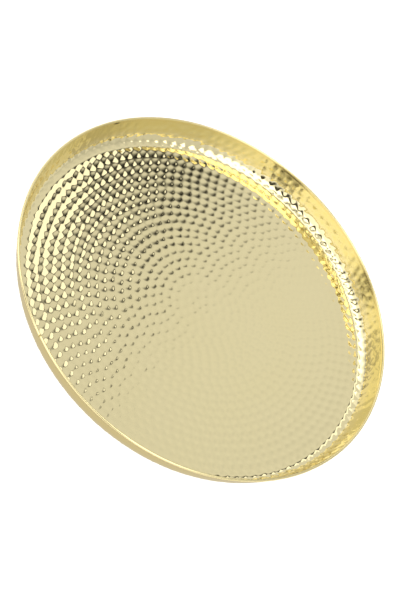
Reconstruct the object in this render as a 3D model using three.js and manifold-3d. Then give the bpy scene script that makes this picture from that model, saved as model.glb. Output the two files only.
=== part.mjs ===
// A round hammered brass serving tray: a shallow pan raised from one sheet, and a U-section strip
// crimped over its cut edge. Millimetres, +Z up, origin at the centre of the underside.
import * as THREE from "three";
import { mergeVertices } from "three/addons/utils/BufferGeometryUtils.js";
import Module from "manifold-3d";

const wasm = await Module();
wasm.setup();

// Driving dimensions.
const TRAY_DIAMETER = 400; // over the rim band
const TRAY_HEIGHT = 29;
const SHEET = 1.0; // brass sheet of the pan
const COVE_RADIUS = 13; // underside of the bend between floor and wall
const WALL_SLOPE = THREE.MathUtils.degToRad(74); // from horizontal, so the wall leans out by 16 degrees
const STRIP = 0.4; // brass strip of the rim band
const CLEARANCE = 0.3; // left between the strip and the sheet it is crimped on
const BAND_LEG = 2.4; // how far each leg of the band reaches down the wall
const SEAM_GAP = 0.4; // between the two ends of the band
const SEAM_ANGLE = THREE.MathUtils.degToRad(246.5); // where they meet, from +X towards +Y

const TURN_SEGMENTS = 120;
const COVE_SEGMENTS = 6;
const CROWN_SEGMENTS = 6;

const BRASS = { color: 0xdccf9a, roughness: 0.12, metalness: 1 };

// The wall is drawn in its own frame: "up" runs up the slope, "out" is square to it, away from the
// tray's axis. Its origin is the middle of the sheet's cut edge, under the crown of the band.
const WALL_UP = new THREE.Vector2(Math.cos(WALL_SLOPE), Math.sin(WALL_SLOPE));
const WALL_OUT = new THREE.Vector2(Math.sin(WALL_SLOPE), -Math.cos(WALL_SLOPE));
const BAND_OUTER = SHEET / 2 + CLEARANCE + STRIP; // half the band's thickness
const BAND_INNER = SHEET / 2 + CLEARANCE; // half the channel inside it

// The crown's half circle is centred above the cut edge. The full circle touches the tray's height and
// radius, and the facets drawn along it keep just inside them.
const CROWN_CENTRE = new THREE.Vector2(TRAY_DIAMETER / 2 - BAND_OUTER, TRAY_HEIGHT - BAND_OUTER);
const EDGE_MIDDLE = CROWN_CENTRE.clone().addScaledVector(WALL_UP, -CLEARANCE);

// The straight wall starts where the cove has turned through the wall's slope, so the radius of the
// flat floor follows from the rim.
const COVE_TOP = COVE_RADIUS * (1 - Math.cos(WALL_SLOPE));
const EDGE_OUTSIDE = EDGE_MIDDLE.clone().addScaledVector(WALL_OUT, SHEET / 2);
const WALL_RUN = (EDGE_OUTSIDE.y - COVE_TOP) / Math.tan(WALL_SLOPE);
const FLOOR_RADIUS = EDGE_OUTSIDE.x - WALL_RUN - COVE_RADIUS * Math.sin(WALL_SLOPE);

// Points of the cove, from the floor to the wall, on a circle of the given radius. The underside and
// the inside share the circle's centre.
function covePoints(radius) {
  const points = [];
  for (let i = 0; i <= COVE_SEGMENTS; i += 1) {
    const turned = (WALL_SLOPE * i) / COVE_SEGMENTS;
    points.push(
      new THREE.Vector2(
        FLOOR_RADIUS + radius * Math.sin(turned),
        COVE_RADIUS - radius * Math.cos(turned),
      ),
    );
  }
  return points;
}

// A profile turned about the tray's axis, which is +Z once the lathe's own +Y is laid over.
function turned(profile) {
  return new THREE.LatheGeometry(profile, TURN_SEGMENTS).rotateX(Math.PI / 2);
}

// The pan: floor, cove and wall in one sheet of even thickness.
function panGeometry() {
  const edgeInside = EDGE_MIDDLE.clone().addScaledVector(WALL_OUT, -SHEET / 2);
  return turned([
    new THREE.Vector2(0, 0),
    ...covePoints(COVE_RADIUS),
    EDGE_OUTSIDE,
    edgeInside,
    ...covePoints(COVE_RADIUS - SHEET).reverse(),
    new THREE.Vector2(0, SHEET),
  ]);
}

// A point of the band's section, from the crown's centre.
function bandPoint(out, up) {
  return CROWN_CENTRE.clone().addScaledVector(WALL_OUT, out).addScaledVector(WALL_UP, up);
}

// Half a circle over the crown, from the outside of the wall to its inside.
function crownPoints(radius) {
  const points = [];
  for (let i = 0; i <= CROWN_SEGMENTS; i += 1) {
    const angle = (Math.PI * i) / CROWN_SEGMENTS;
    points.push(bandPoint(radius * Math.cos(angle), radius * Math.sin(angle)));
  }
  return points;
}

// The band's section: down over the outside and the crown, and back through the channel.
function bandSection() {
  const section = [
    bandPoint(BAND_INNER, -BAND_LEG),
    bandPoint(BAND_OUTER, -BAND_LEG),
    ...crownPoints(BAND_OUTER),
    bandPoint(-BAND_OUTER, -BAND_LEG),
    bandPoint(-BAND_INNER, -BAND_LEG),
    ...crownPoints(BAND_INNER).reverse(),
  ];
  section.push(section[0].clone());
  return section;
}

function toSolid(geometry) {
  const bare = geometry.clone().deleteAttribute("normal").deleteAttribute("uv");
  const merged = mergeVertices(bare, 1e-4);
  return new wasm.Manifold(
    new wasm.Mesh({
      numProp: 3,
      vertProperties: merged.attributes.position.array,
      triVerts: new Uint32Array(merged.index.array),
    }),
  );
}

function toGeometry(solid) {
  const mesh = solid.getMesh();
  const geometry = new THREE.BufferGeometry();
  geometry.setAttribute("position", new THREE.BufferAttribute(mesh.vertProperties, 3));
  geometry.setIndex(new THREE.BufferAttribute(mesh.triVerts, 1));
  geometry.computeVertexNormals();
  return geometry;
}

// The rim band: the section turned into a ring, then parted by the butt seam between its two ends.
function bandGeometry() {
  const cutter = new THREE.BoxGeometry(4 * BAND_OUTER + 2 * BAND_LEG, SEAM_GAP, 4 * BAND_LEG)
    .translate(CROWN_CENTRE.x, 0, CROWN_CENTRE.y)
    .rotateZ(SEAM_ANGLE);
  return toGeometry(toSolid(turned(bandSection())).subtract(toSolid(cutter)));
}

function part(name, geometry, finish) {
  const mesh = new THREE.Mesh(geometry, new THREE.MeshStandardMaterial(finish));
  mesh.name = name;
  return mesh;
}

const tray = new THREE.Group();
tray.add(part("pan", panGeometry(), BRASS));
tray.add(part("rim_band", bandGeometry(), BRASS));

export default tray;
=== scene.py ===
"""A round hammered brass serving tray, dressed on its CAD frame. Blender 4.5, metres, +Z up."""
import math

import bpy
import numpy as np
from mathutils import Matrix, Vector


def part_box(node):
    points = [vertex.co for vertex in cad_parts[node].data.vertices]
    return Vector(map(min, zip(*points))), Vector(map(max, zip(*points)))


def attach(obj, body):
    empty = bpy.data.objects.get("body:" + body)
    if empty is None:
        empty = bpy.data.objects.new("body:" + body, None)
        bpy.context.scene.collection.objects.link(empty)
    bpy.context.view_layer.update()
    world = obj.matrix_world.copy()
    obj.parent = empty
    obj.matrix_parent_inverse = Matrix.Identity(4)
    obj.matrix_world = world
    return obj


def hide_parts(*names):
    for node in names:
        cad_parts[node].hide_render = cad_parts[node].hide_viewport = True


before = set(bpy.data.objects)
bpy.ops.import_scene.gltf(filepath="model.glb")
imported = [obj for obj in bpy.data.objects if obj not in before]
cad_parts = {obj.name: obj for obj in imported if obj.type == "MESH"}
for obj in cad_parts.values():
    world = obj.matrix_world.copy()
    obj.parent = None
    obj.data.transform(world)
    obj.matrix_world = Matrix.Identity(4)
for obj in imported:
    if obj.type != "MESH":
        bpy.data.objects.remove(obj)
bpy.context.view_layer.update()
MM = 0.001

# ---- sizes taken from the frame ----
PAN_LOW, PAN_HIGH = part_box("pan")
BAND_LOW, BAND_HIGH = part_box("rim_band")
PAN_RADIUS = (PAN_HIGH.x - PAN_LOW.x) / 2
BAND_RADIUS = (BAND_HIGH.x - BAND_LOW.x) / 2

# ---- the pan's section, as the CAD draws it ----
SHEET = 1.0 * MM
COVE_RADIUS = 13.0 * MM  # of the underside
WALL_SLOPE = math.radians(74.0)
COVE_TOP = COVE_RADIUS * (1 - math.cos(WALL_SLOPE))
EDGE_OUTSIDE_Z = PAN_HIGH.z - SHEET * math.cos(WALL_SLOPE)
WALL_RUN = (EDGE_OUTSIDE_Z - COVE_TOP) / math.tan(WALL_SLOPE)
FLOOR_RADIUS = PAN_RADIUS - WALL_RUN - COVE_RADIUS * math.sin(WALL_SLOPE)
INNER_COVE = COVE_RADIUS - SHEET
COVE_LENGTH = INNER_COVE * WALL_SLOPE
WALL_LENGTH = (EDGE_OUTSIDE_Z - COVE_TOP) / math.sin(WALL_SLOPE)
WALL_START = FLOOR_RADIUS + COVE_LENGTH
MERIDIAN = WALL_START + WALL_LENGTH

# ---- the hammer's work ----
SEED = 20
RING_PITCH = 8.48 * MM
FIRST_RING = 4.8 * MM
FLOOR_RINGS = 21
UPPER_RINGS = 4
BLOW_SPACING = 10.0 * MM
HAMMER_RADIUS = 36.4 * MM
MIDDLE_BOWL = 0.80  # dimple radii, as shares of the hammer's
BOWL_GROWTH = 0.24  # from the middle to the floor's edge
FIRST_BOWL = 0.22  # how much less it is in the first two rings
BLOW_JITTER = 0.35 * MM
UPPER_JITTER = 0.7  # how much it grows with each ring above the floor
RADIUS_JITTER = 0.16
DEPTH_JITTER = 0.022 * MM
RIDGE_SOFTNESS = 0.038 * MM
LAND_HEIGHT = 0.292 * MM  # of the unstruck metal between the dimples
FAINT_RADIUS = 20.0 * MM  # of the rings that were struck more lightly
FAINT_WIDTH = 8.0 * MM
FAINT_SHARE = 0.38
COVE_GAIN = 0.7  # how much deeper the marks are in the cove
WALL_LOSS = 0.45  # and how much of that depth the wall loses
BLEND = 4 * MM  # over which the depth changes at the floor's edge and at the wall
PATTERN_DRIFT = Vector((6.3 * MM, -0.8 * MM))  # from the tray's axis to the rings' centre
HEIGHT_BLOCK = 2048  # points handled at once
ECHO = 0.4  # share of the hammer marks that shows on the underside
FACE_STEP = 1.27 * MM  # between the mesh's rings, on the struck face and the underside
UNDER_STEP = 4.2 * MM


def unrolled_rings(step, limit):
    """Radii and vertex counts of rings that cover a disc evenly, out to limit."""
    rows = max(1, round(limit / step))
    return [(limit * row / rows, 6 * row) for row in range(1, rows + 1)]


def smooth(low, high, value):
    """0 below low, 1 above high, with a smooth rise between."""
    t = np.clip((value - low) / (high - low), 0.0, 1.0)
    return t * t * (3 - 2 * t)


def bowl_radius(run):
    """Radius of curvature of the dimples: tighter near the middle, and tightest in the first two rings."""
    first_two = 1 - smooth(FIRST_RING + RING_PITCH, FIRST_RING + 2 * RING_PITCH, run)
    outward = min(run / FLOOR_RADIUS, 1.0)
    return HAMMER_RADIUS * (MIDDLE_BOWL + BOWL_GROWTH * outward - FIRST_BOWL * first_two)


def hammer_blows():
    """One row for each blow: its centre on the unrolled disc, its dimple's radius and its extra height."""
    random = np.random.default_rng(SEED)
    rows = []
    for ring in range(FLOOR_RINGS + UPPER_RINGS):
        radius = FIRST_RING + ring * RING_PITCH
        upper = max(0, ring - FLOOR_RINGS + 1)
        count = round(2 * math.pi * min(radius, FLOOR_RADIUS) / BLOW_SPACING)
        angle = random.uniform(0, 2 * math.pi) + 2 * math.pi * np.arange(count) / count
        jitter = BLOW_JITTER * (1 + UPPER_JITTER * upper)
        angle = angle + random.normal(0, jitter / radius, count)
        along = radius + random.normal(0, jitter, count)
        share = 1 - min(1.0, radius / MERIDIAN) ** 2
        x = along * np.cos(angle) + PATTERN_DRIFT.x * share
        y = along * np.sin(angle) + PATTERN_DRIFT.y * share
        curve = bowl_radius(radius) * (1 + RADIUS_JITTER * random.uniform(-1, 1, count))
        depth = random.normal(0, DEPTH_JITTER, count)
        rows.append(np.stack([x, y, curve, depth], axis=1))
    return np.concatenate(rows)


BLOWS = hammer_blows()


def hammered_height(x, y):
    """How far the hammered face stands off the smooth inner face, at points of the unrolled disc."""
    height = np.empty_like(x)
    for start in range(0, len(x), HEIGHT_BLOCK):
        part = slice(start, start + HEIGHT_BLOCK)
        dx = x[part, None] - BLOWS[None, :, 0]
        dy = y[part, None] - BLOWS[None, :, 1]
        bowls = (dx * dx + dy * dy) / (2 * BLOWS[None, :, 2]) + BLOWS[None, :, 3]
        lowest = np.minimum(bowls.min(axis=1), LAND_HEIGHT)
        spread = np.exp(-(bowls - lowest[:, None]) / RIDGE_SOFTNESS).sum(axis=1)
        spread = spread + np.exp(-(LAND_HEIGHT - lowest) / RIDGE_SOFTNESS)
        height[part] = lowest - RIDGE_SOFTNESS * np.log(spread)
    radius = np.hypot(x, y)
    centre = np.hypot(x - PATTERN_DRIFT.x, y - PATTERN_DRIFT.y)
    strength = 1 - FAINT_SHARE * np.exp(-(((centre - FAINT_RADIUS) / FAINT_WIDTH) ** 2))
    strength = strength * (1 + COVE_GAIN * smooth(FLOOR_RADIUS - BLEND / 2, FLOOR_RADIUS + BLEND, radius))
    strength = strength * (1 - WALL_LOSS * smooth(WALL_START - BLEND, WALL_START + BLEND, radius))
    return height * strength


def section_point(run):
    """Radius, height and inward normal of the pan's inner face at arc lengths run from the centre."""
    turn = np.clip((run - FLOOR_RADIUS) / INNER_COVE, 0.0, WALL_SLOPE)
    wall = np.maximum(run - WALL_START, 0.0)
    radius = np.minimum(run, FLOOR_RADIUS) + INNER_COVE * np.sin(turn) + wall * math.cos(WALL_SLOPE)
    height = SHEET + INNER_COVE * (1 - np.cos(turn)) + wall * math.sin(WALL_SLOPE)
    return radius, height, -np.sin(turn), np.cos(turn)


def ring_plan(step):
    """Arc length and vertex count of every ring of one face, from the centre to the edge."""
    rings = unrolled_rings(step, FLOOR_RADIUS)
    count = rings[-1][1]
    for start, length in ((FLOOR_RADIUS, COVE_LENGTH), (WALL_START, WALL_LENGTH)):
        rows = max(2, round(length / step))
        rings += [(start + length * row / rows, count) for row in range(1, rows + 1)]
    return rings


def face_points(rings, lift):
    """Points of one face. lift(x, y) says how far each stands off the inner face along its normal."""
    run = np.concatenate([[0.0]] + [np.full(count, arc) for arc, count in rings])
    angle = np.concatenate([[0.0]] + [2 * math.pi * np.arange(n) / n for _, n in rings])
    radius, height, out, up = section_point(run)
    off = lift(run * np.cos(angle), run * np.sin(angle))
    radius = radius + out * off
    return np.stack([radius * np.cos(angle), radius * np.sin(angle), height + up * off], axis=1)


def stitched(first, first_count, second, second_count):
    """Triangles between two rings of vertices, going round both together."""
    faces = []
    i = j = 0
    while i < first_count or j < second_count:
        ahead = (i + 1) * second_count <= (j + 1) * first_count
        a = first + i % first_count
        b = second + j % second_count
        if j >= second_count or (ahead and i < first_count):
            faces.append((a, b, first + (i + 1) % first_count))
            i += 1
        else:
            faces.append((a, b, second + (j + 1) % second_count))
            j += 1
    return faces


def face_triangles(rings):
    """Triangles of one face: a fan round the centre, then ring to ring."""
    count = rings[0][1]
    faces = [(0, 1 + i, 1 + (i + 1) % count) for i in range(count)]
    start = 1
    for (_, inner), (_, outer) in zip(rings, rings[1:]):
        faces += stitched(start, inner, start + inner, outer)
        start += inner
    return faces, start


def make_object(name, points, faces, material):
    mesh = bpy.data.meshes.new(name)
    mesh.from_pydata([tuple(p) for p in points], [], faces)
    mesh.validate()
    mesh.materials.append(material)
    mesh.shade_smooth()
    piece = bpy.data.objects.new(name, mesh)
    bpy.context.scene.collection.objects.link(piece)
    return piece


# ---- brass ----
SPOT_ANGLE = math.radians(158.8)
SPOT_BELOW = 1.6 * MM  # under the pan's cut edge
SPOT_RADIUS = PAN_RADIUS - SHEET - SPOT_BELOW * math.cos(WALL_SLOPE)
SPOT_X = SPOT_RADIUS * math.cos(SPOT_ANGLE)
SPOT_Y = SPOT_RADIUS * math.sin(SPOT_ANGLE)
SPOT_Z = PAN_HIGH.z - SPOT_BELOW
SPOT_REACH = (2.0 * MM, 5.2 * MM, 1.5 * MM)  # across the wall, along the rim and upward
SPOT_FULL = 0.5  # share of the reach within which the painted gap shadow is full
# painted shadow: a near-black dash painted where the strip's lower edge stands off the wall, in place of the
# shade in that gap
GAP_SHADOW_COLOUR = (0.07, 0.055, 0.02)


def painted_gap_shadow(nodes, links, place):
    """1 inside the short painted gap shadow at the strip's lower edge, fading to 0 at its reach."""
    mapping = nodes.new("ShaderNodeMapping")
    mapping.vector_type = "TEXTURE"
    mapping.inputs["Location"].default_value = (SPOT_X, SPOT_Y, SPOT_Z)
    mapping.inputs["Rotation"].default_value = (0, 0, SPOT_ANGLE)
    mapping.inputs["Scale"].default_value = SPOT_REACH
    links.new(place, mapping.inputs["Vector"])
    length = nodes.new("ShaderNodeVectorMath")
    length.operation = "LENGTH"
    links.new(mapping.outputs["Vector"], length.inputs[0])
    inside = nodes.new("ShaderNodeMapRange")
    inside.inputs["From Min"].default_value = 1.0
    inside.inputs["From Max"].default_value = SPOT_FULL
    links.new(length.outputs["Value"], inside.inputs["Value"])
    return inside.outputs["Result"]


REFLECTION_TINT_FROM = 11 * MM  # heights between which a warmer, deeper gold is painted up the wall, a painted reflection standing in for the wall's reflections of the brass floor
REFLECTION_TINT_TO = 18 * MM
WARM_DRIFT = 0.15
DRIFT_SCALE = 14.0  # noise cells across a metre
GLOSS_SCALE = 60.0
GRAIN_SCALE = 1100.0
GRAIN_HEIGHT = 0.02 * MM
NOISE_SPAN = (0.3, 0.7)  # where nearly all of the noise's values lie


def brass(name, tint, reflection_tint, roughness, grain):
    """Polished brass: a warmer, deeper gold painted up the wall as a painted reflection, with a slow drift
    of tint and gloss and a fine grain.
    """
    material = bpy.data.materials.new(name)
    material.use_nodes = True
    nodes, links = material.node_tree.nodes, material.node_tree.links
    shader = nodes["Principled BSDF"]
    shader.inputs["Metallic"].default_value = 1.0
    place = nodes.new("ShaderNodeTexCoord")

    def noise(scale, detail):
        node = nodes.new("ShaderNodeTexNoise")
        node.inputs["Scale"].default_value = scale
        node.inputs["Detail"].default_value = detail
        links.new(place.outputs["Object"], node.inputs["Vector"])
        return node.outputs["Fac"]

    def spread(value, low, high):
        node = nodes.new("ShaderNodeMapRange")
        node.inputs["From Min"].default_value = NOISE_SPAN[0]
        node.inputs["From Max"].default_value = NOISE_SPAN[1]
        node.inputs["To Min"].default_value = low
        node.inputs["To Max"].default_value = high
        links.new(value, node.inputs["Value"])
        return node.outputs["Result"]

    colour = nodes.new("ShaderNodeMix")
    colour.data_type = "RGBA"
    colour.inputs["A"].default_value = (*tint, 1)
    colour.inputs["B"].default_value = (*reflection_tint, 1)
    height = nodes.new("ShaderNodeSeparateXYZ")
    links.new(place.outputs["Object"], height.inputs["Vector"])
    # painted reflection: the tint deepens with height, in place of the deeper gold that the wall's
    # reflections of the brass give
    painted_reflection = nodes.new("ShaderNodeMapRange")
    painted_reflection.inputs["From Min"].default_value = REFLECTION_TINT_FROM
    painted_reflection.inputs["From Max"].default_value = REFLECTION_TINT_TO
    links.new(height.outputs["Z"], painted_reflection.inputs["Value"])
    total = nodes.new("ShaderNodeMath")
    total.use_clamp = True
    links.new(painted_reflection.outputs["Result"], total.inputs[0])
    links.new(spread(noise(DRIFT_SCALE, 3.0), 0.0, WARM_DRIFT), total.inputs[1])
    links.new(total.outputs["Value"], colour.inputs["Factor"])
    # the painted gap shadow, mixed over the brass colour
    gap_shadowed = nodes.new("ShaderNodeMix")
    gap_shadowed.data_type = "RGBA"
    gap_shadowed.inputs["B"].default_value = (*GAP_SHADOW_COLOUR, 1)
    links.new(colour.outputs["Result"], gap_shadowed.inputs["A"])
    links.new(painted_gap_shadow(nodes, links, place.outputs["Object"]), gap_shadowed.inputs["Factor"])
    links.new(gap_shadowed.outputs["Result"], shader.inputs["Base Color"])
    links.new(spread(noise(GLOSS_SCALE, 4.0), *roughness), shader.inputs["Roughness"])
    bump = nodes.new("ShaderNodeBump")
    bump.inputs["Strength"].default_value = grain
    bump.inputs["Distance"].default_value = GRAIN_HEIGHT
    links.new(noise(GRAIN_SCALE, 2.0), bump.inputs["Height"])
    links.new(bump.outputs["Normal"], shader.inputs["Normal"])
    return material


# the second tint of each is the painted reflection tint of the upper wall and rim
PAN_BRASS = brass("pan_brass", (0.905, 0.80, 0.47), (0.895, 0.785, 0.40), (0.055, 0.09), 0.15)
RIM_BRASS = brass("rim_brass", (0.915, 0.81, 0.48), (0.90, 0.78, 0.42), (0.10, 0.18), 0.35)


# ---- the pan ----
def make_pan():
    """The hammered sheet as one closed mesh: the struck face above, its quieter echo below."""
    upper = ring_plan(FACE_STEP)
    lower = ring_plan(UNDER_STEP)
    top = face_points(upper, hammered_height)
    below = face_points(lower, lambda x, y: ECHO * np.maximum(hammered_height(x, y), 0.0) - SHEET)
    top_faces, top_edge = face_triangles(upper)
    low_faces, low_edge = face_triangles(lower)
    shift = len(top)
    faces = top_faces + [(a + shift, c + shift, b + shift) for a, b, c in low_faces]
    faces += stitched(top_edge, upper[-1][1], low_edge + shift, lower[-1][1])
    return make_object("hammered_pan", np.concatenate([top, below]), faces, PAN_BRASS)


pan = make_pan()
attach(pan, "root")
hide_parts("pan")


# ---- the rim band ----
STRIP = 0.4 * MM
CLEARANCE = 0.3 * MM
BAND_LEG = 2.4 * MM
BAND_OUTER = SHEET / 2 + CLEARANCE + STRIP
BAND_INNER = SHEET / 2 + CLEARANCE
CROWN_RADIUS = BAND_RADIUS - BAND_OUTER
CROWN_HEIGHT = BAND_HIGH.z - BAND_OUTER
SEAM_ANGLE = math.radians(246.5)
SEAM_GAP = 0.5 * MM
SEAM_STEP = 0.35 * MM  # how far the strip's first end stands inward of its last
SEAM_REACH = 18 * MM
BAND_SWAY = 0.05 * MM
BAND_SAG = 0.04 * MM
BAND_STEPS = 900
CROWN_STEPS = 12
TOE_STEPS = 4


def band_section():
    """The strip's section, as (outward, upward) distances from the centre of its crown."""
    crown = [math.pi * i / CROWN_STEPS for i in range(CROWN_STEPS + 1)]
    wall = (math.cos(WALL_SLOPE), math.sin(WALL_SLOPE))
    out = (math.sin(WALL_SLOPE), -math.cos(WALL_SLOPE))

    def at(side, along):
        return (out[0] * side + wall[0] * along, out[1] * side + wall[1] * along)

    points = [at(BAND_OUTER * math.cos(a), BAND_OUTER * math.sin(a)) for a in crown]
    toe = STRIP / 2
    middle = BAND_INNER + toe
    turns = [math.pi * i / TOE_STEPS for i in range(TOE_STEPS + 1)]
    for side in (-1, 1):
        if side == 1:
            points += [at(BAND_INNER * math.cos(a), BAND_INNER * math.sin(a)) for a in reversed(crown)]
        for turn in turns:
            across = side * middle - toe * math.cos(turn)
            points.append(at(across, -BAND_LEG + toe - toe * math.sin(turn)))
    return points


def make_band():
    """The strip swept once round the edge, between two square ends a hair apart.

    It sways and sags a little, only inward and downward, and steps in at its first end.
    """
    section = np.array(band_section())
    gap = SEAM_GAP / CROWN_RADIUS
    angle = SEAM_ANGLE + gap / 2 + (2 * math.pi - gap) * np.arange(BAND_STEPS + 1) / BAND_STEPS
    sway = BAND_SWAY * (np.sin(5 * angle + 0.6) + 0.6 * np.sin(13 * angle + 2.1) - 1.6)
    sag = BAND_SAG * (np.sin(7 * angle + 1.3) + 0.7 * np.sin(17 * angle) - 1.7)
    past = (angle - SEAM_ANGLE) * CROWN_RADIUS
    sway = sway - SEAM_STEP * np.exp(-((past / SEAM_REACH) ** 2))
    radius = CROWN_RADIUS + sway[:, None] + section[None, :, 0]
    height = CROWN_HEIGHT + sag[:, None] + np.broadcast_to(section[None, :, 1], radius.shape)
    points = np.stack(
        [radius * np.cos(angle)[:, None], radius * np.sin(angle)[:, None], height], axis=2
    ).reshape(-1, 3)
    around = len(section)
    faces = []
    for step in range(BAND_STEPS):
        for i in range(around):
            a = step * around + i
            b = step * around + (i + 1) % around
            faces.append((a, a + around, b + around, b))
    faces.append(tuple(range(around)))
    faces.append(tuple(BAND_STEPS * around + i for i in reversed(range(around))))
    return make_object("crimped_rim_band", points, faces, RIM_BRASS)


band = make_band()
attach(band, "root")
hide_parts("rim_band")

# ---- camera ----
CAMERA_LENS = 83.1
CAMERA_DISTANCE = 1.3648
CAMERA_ELEVATION = math.radians(48.845)
CAMERA_ROLL = math.radians(44.374)
AIM = Vector((0.4 * MM, 3.4 * MM, 0))


def make_camera():
    """Over the near side, looking down on the tray, and rolled as the photograph is."""
    data = bpy.data.cameras.new("camera")
    data.lens = CAMERA_LENS
    data.sensor_width = 36
    camera = bpy.data.objects.new("camera", data)
    bpy.context.scene.collection.objects.link(camera)
    camera.location = CAMERA_DISTANCE * Vector((0, -math.cos(CAMERA_ELEVATION), math.sin(CAMERA_ELEVATION)))
    facing = (AIM - camera.location).to_track_quat("-Z", "Y").to_matrix()
    camera.rotation_euler = (facing @ Matrix.Rotation(CAMERA_ROLL, 3, "Z")).to_euler()
    bpy.context.scene.camera = camera


make_camera()

# ---- studio ----
PALE = 0.78  # how brightly the room glows
WHITE = (1.0, 1.0, 1.0)
FLOOR_SIZE = 80.0
FLOOR_DROP = 0.2 * MM
FLOOR_COLOUR = (0.82, 0.82, 0.81)
FLOOR_ROUGHNESS = 0.9


def make_floor():
    material = bpy.data.materials.new("studio_floor")
    material.use_nodes = True
    shader = material.node_tree.nodes["Principled BSDF"]
    shader.inputs["Base Color"].default_value = (*FLOOR_COLOUR, 1)
    shader.inputs["Roughness"].default_value = FLOOR_ROUGHNESS
    half = FLOOR_SIZE / 2
    points = [(-half, -half, 0), (half, -half, 0), (half, half, 0), (-half, half, 0)]
    floor = make_object("studio_floor", points, [(0, 1, 2, 3)], material)
    floor.location.z = -FLOOR_DROP


def screen_point(across, up, distance):
    """A point of a card that the flat floor mirrors to a viewer on the near side, at the camera's height."""
    ahead = Vector((0, math.cos(CAMERA_ELEVATION), math.sin(CAMERA_ELEVATION)))
    above = Vector((0, -math.sin(CAMERA_ELEVATION), math.cos(CAMERA_ELEVATION)))
    return (ahead + Vector((1, 0, 0)) * across + above * up) * distance


def lit_by_attribute(name, colour):
    """A glow whose strength is painted on the mesh."""
    material = bpy.data.materials.new(name)
    material.use_nodes = True
    nodes, links = material.node_tree.nodes, material.node_tree.links
    nodes.remove(nodes["Principled BSDF"])
    light = nodes.new("ShaderNodeEmission")
    light.inputs["Color"].default_value = (*colour, 1)
    paint = nodes.new("ShaderNodeAttribute")
    paint.attribute_name = "glow"
    links.new(paint.outputs["Fac"], light.inputs["Strength"])
    links.new(light.outputs["Emission"], nodes["Material Output"].inputs["Surface"])
    return material


def make_screen(name, place, light, across, up, steps, distance, colour=WHITE):
    """A card that the brass sees and the camera doesn't. light(a, b) says how brightly each point glows."""
    a, b = np.meshgrid(np.linspace(*across, steps), np.linspace(*up, steps), indexing="ij")
    points = [place(x, y, distance) for x, y in zip(a.ravel(), b.ravel())]
    faces = []
    for i in range(steps - 1):
        for j in range(steps - 1):
            k = i * steps + j
            faces.append((k, k + steps, k + steps + 1, k + 1))
    card = make_object(name, points, faces, lit_by_attribute(name, colour))
    glow = card.data.attributes.new("glow", "FLOAT", "POINT")
    glow.data.foreach_set("value", light(a.ravel(), b.ravel()).astype(np.float32))
    card.visible_camera = False
    card.visible_diffuse = False
    card.visible_shadow = False


def dome_point(turn, rise, distance):
    """A point of a dome: turn goes clockwise from +Y, rise is the elevation."""
    flat = math.cos(rise) * distance
    return Vector((math.sin(turn) * flat, math.cos(turn) * flat, math.sin(rise) * distance))


def ring_point(turn, radius, height):
    """A point of a flat ring round the tray."""
    return Vector((math.sin(turn) * radius, math.cos(turn) * radius, height))


CARD_DISTANCE = 1.9
CARD_STEPS = 160
SOFTBOX_WIDTH = 0.30
SOFTBOX_GLOW = 1.3
SOFTBOX_STEPS = 24
SOFTBOX_UP = (-0.45, 0.5)
WEDGE_ACROSS = (-0.7, 0.7)
WEDGE_UP = (-0.45, 0.4)
EDGE_CURVE = (0.243, 0.301, -0.210)  # polynomials of the height: where the softbox ends,
CORE_CURVE = (-0.081, -0.211, 0.013)  # how far the dark beside it stays full,
FADE_CURVE = (0.535, -0.449, 0.114)  # and how far the dark takes to fade
CORE_LEAST = 0.004
FADE_LEAST = 0.01
WEDGE_BEHIND = 1.01  # the wedge card's distance, in card distances
DARK = 0.02
SIDE_LOSS = 0.22  # of the pale's glow, far to the right
RISE_LOSS = 0.10  # of the pale's glow, for each unit of height
RIPPLE = 0.03


def softbox_edge(b):
    """Where the softbox ends on the right, at height b."""
    return np.polyval(EDGE_CURVE, b)


def softbox_point(across, up, distance):
    """A point of the softbox, whose right-hand edge is curved."""
    return screen_point(across + softbox_edge(up), up, distance)


def softbox_light(a, b):
    return np.full_like(a, SOFTBOX_GLOW)


def wedge(a, b):
    """Dark beside the softbox's edge, and pale away from it and on its other side, with a faint drift."""
    off = a - softbox_edge(b)
    core = np.maximum(np.polyval(CORE_CURVE, b), CORE_LEAST)
    fade = np.maximum(np.polyval(FADE_CURVE, b), FADE_LEAST)
    ripple = RIPPLE * np.sin(17 * a + 3 * b) * np.cos(11 * b)
    pale = PALE * (1 - SIDE_LOSS * smooth(0.15, 0.6, a) - RISE_LOSS * b + ripple)
    level = DARK + (pale - DARK) * smooth(0.0, 1.0, (off - core) / fade)
    return np.where(off < -SOFTBOX_WIDTH / 2, PALE, level)


# ---- the dome that the walls mirror. Its angles are in degrees, and turns go clockwise from +Y ----
DOME_DISTANCE = 3.0
DOME_TURNS = (50, 305)
OVERHEAD_RISE = 68
FAR_GLOW = 0.54
GLOW_CHANGES = ((0.15, 55, 85), (0.58, 110, 180), (-0.25, 235, 290))  # each over a span of turns
CANOPY_GLOW = 2.2
CANOPY_RISE = (32, 52)
BRIM_LIFT = 24  # how much higher the canopy begins on the right
BRIM_TURNS = (90, 140)
BRIM_SHARE = 0.7  # of that lift, at the canopy's upper limit
ZENITH_LOSS = 0.64
ZENITH_RISE = (75, 85)
STAND_TURN = 168
STAND_FOOT = 10
STAND_LEAN = 0.00022  # of turn for each cubed degree above the foot
STAND_HALF = 7
STAND_SPREAD = 0.004  # of half width for each squared degree of rise
STAND_EDGE = (0.7, 1.3)  # in half widths, where its dark starts and ends
STAND_DARK = (0.35, 0.6)  # at the foot, and what is added above it
STAND_FADE = (0.7, 0.35)  # at the top, and how much less of it on the left
POLE_TURN = 238
POLE_HALF = 10
POLE_BEND = 30
POLE_LEAN = 0.75
POLE_DARK = (0.45, 0.5)
BENCH_DARK = 0.5


def low_glow(turn):
    """How the room glows low down: least on the right, most behind the camera."""
    glow = FAR_GLOW
    for change, start, end in GLOW_CHANGES:
        glow = glow + change * smooth(start, end, turn)
    return glow


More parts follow.
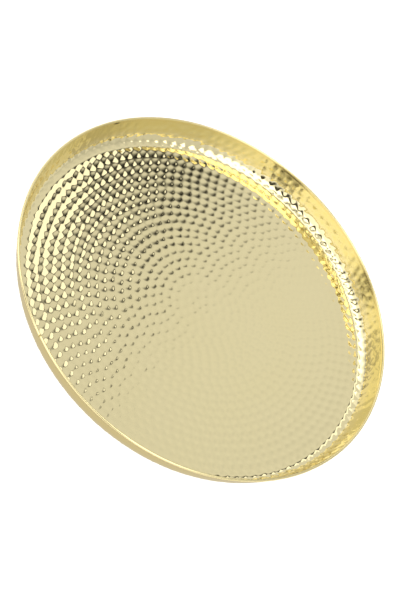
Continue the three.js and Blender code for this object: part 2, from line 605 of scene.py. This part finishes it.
def canopy(turn, rise):
    """1 inside the bright canopy overhead and 0 below it."""
    brim = BRIM_LIFT * (1 - smooth(*BRIM_TURNS, turn))
    return smooth(CANOPY_RISE[0] + brim, CANOPY_RISE[1] + BRIM_SHARE * brim, rise)


def stand(turn, rise):
    """How dark the tall stand is. It leans to the left and widens as it rises, and fades at the top."""
    off = turn - (STAND_TURN + STAND_LEAN * np.maximum(rise - STAND_FOOT, 0) ** 3)
    half = STAND_HALF + STAND_SPREAD * rise ** 2
    dark = STAND_DARK[0] + STAND_DARK[1] * smooth(8, 22, rise)
    dark = dark * (1 - smooth(*STAND_EDGE, np.abs(off) / half))
    fade = STAND_FADE[0] - STAND_FADE[1] * smooth(188, 204, turn)
    return dark * (1 - smooth(60, 72, rise) * fade)


def pole(turn, rise):
    """How dark the slim pole on the left is. It leans to the left above its bend."""
    off = turn - POLE_TURN - POLE_LEAN * np.maximum(rise - POLE_BEND, 0)
    dark = np.exp(-((off / POLE_HALF) ** 2)) * (POLE_DARK[0] + POLE_DARK[1] * smooth(12, 25, rise))
    return dark * (1 - smooth(70, 80, rise))


def bench(turn, rise):
    """How dark the low bench on the left is."""
    return BENCH_DARK * smooth(258, 268, turn) * (1 - smooth(284, 296, turn)) * (1 - smooth(16, 26, rise))


def surround(turn, rise):
    """The studio round and behind the camera: pale walls, a bright canopy, a stand, a pole and a bench."""
    turn = np.degrees(turn) % 360
    rise = np.degrees(rise)
    low = low_glow(turn)
    level = low + (CANOPY_GLOW - low) * canopy(turn, rise)
    level = level * (1 - ZENITH_LOSS * smooth(*ZENITH_RISE, rise))
    return level * (1 - stand(turn, rise)) * (1 - pole(turn, rise)) * (1 - bench(turn, rise))


GROUND_OUTSIDE = 0.25
GROUND_DROP = 0.05 * MM
GROUND_STEPS = 90
# painted light: the ground card's warm tint stands in for light bounced off the brass onto the floor, and
# its glow is a painted shade next to the tray
GROUND_BOUNCE_TINT = (1.0, 0.91, 0.74)
GROUND_NEAR = 0.66
GROUND_SHADOW = (0.19, 0.24)  # radii between which the floor next to the tray gets lighter
FILL_ENERGY = 3.2


def ground(turn, radius):
    """The floor as the outside of the wall sees it: shaded close to the tray."""
    return GROUND_NEAR + (1 - GROUND_NEAR) * smooth(*GROUND_SHADOW, radius)


def make_cards():
    """The cards that only the brass sees: two that its floor mirrors, a dome in two parts and the ground."""
    round_turns = (0.0, 2 * math.pi)
    dome_turns = tuple(math.radians(turn) for turn in DOME_TURNS)
    overhead = math.radians(OVERHEAD_RISE)
    behind = WEDGE_BEHIND * CARD_DISTANCE
    make_screen("wedge", screen_point, wedge, WEDGE_ACROSS, WEDGE_UP, CARD_STEPS, behind)
    softbox_across = (-SOFTBOX_WIDTH, 0.0)
    make_screen(
        "softbox", softbox_point, softbox_light, softbox_across, SOFTBOX_UP, SOFTBOX_STEPS, CARD_DISTANCE
    )
    make_screen("surround", dome_point, surround, dome_turns, (0.0, overhead), CARD_STEPS, DOME_DISTANCE)
    make_screen(
        "overhead", dome_point, surround, round_turns, (overhead, math.pi / 2), CARD_STEPS, DOME_DISTANCE
    )
    ground_radii = (FLOOR_RADIUS, GROUND_OUTSIDE)
    make_screen(
        "ground", ring_point, ground, round_turns, ground_radii, GROUND_STEPS, -GROUND_DROP, GROUND_BOUNCE_TINT
    )


def make_studio():
    world = bpy.data.worlds.new("studio")
    bpy.context.scene.world = world
    world.use_nodes = True
    world.node_tree.nodes["Background"].inputs["Color"].default_value = (*WHITE, 1)
    world.node_tree.nodes["Background"].inputs["Strength"].default_value = PALE
    make_floor()
    make_cards()
    sun = bpy.data.lights.new("fill", "SUN")
    sun.energy = FILL_ENERGY
    sun.use_shadow = False
    lamp = bpy.data.objects.new("fill", sun)
    lamp.visible_glossy = False
    bpy.context.scene.collection.objects.link(lamp)
    bpy.context.scene.view_settings.view_transform = "Standard"


make_studio()
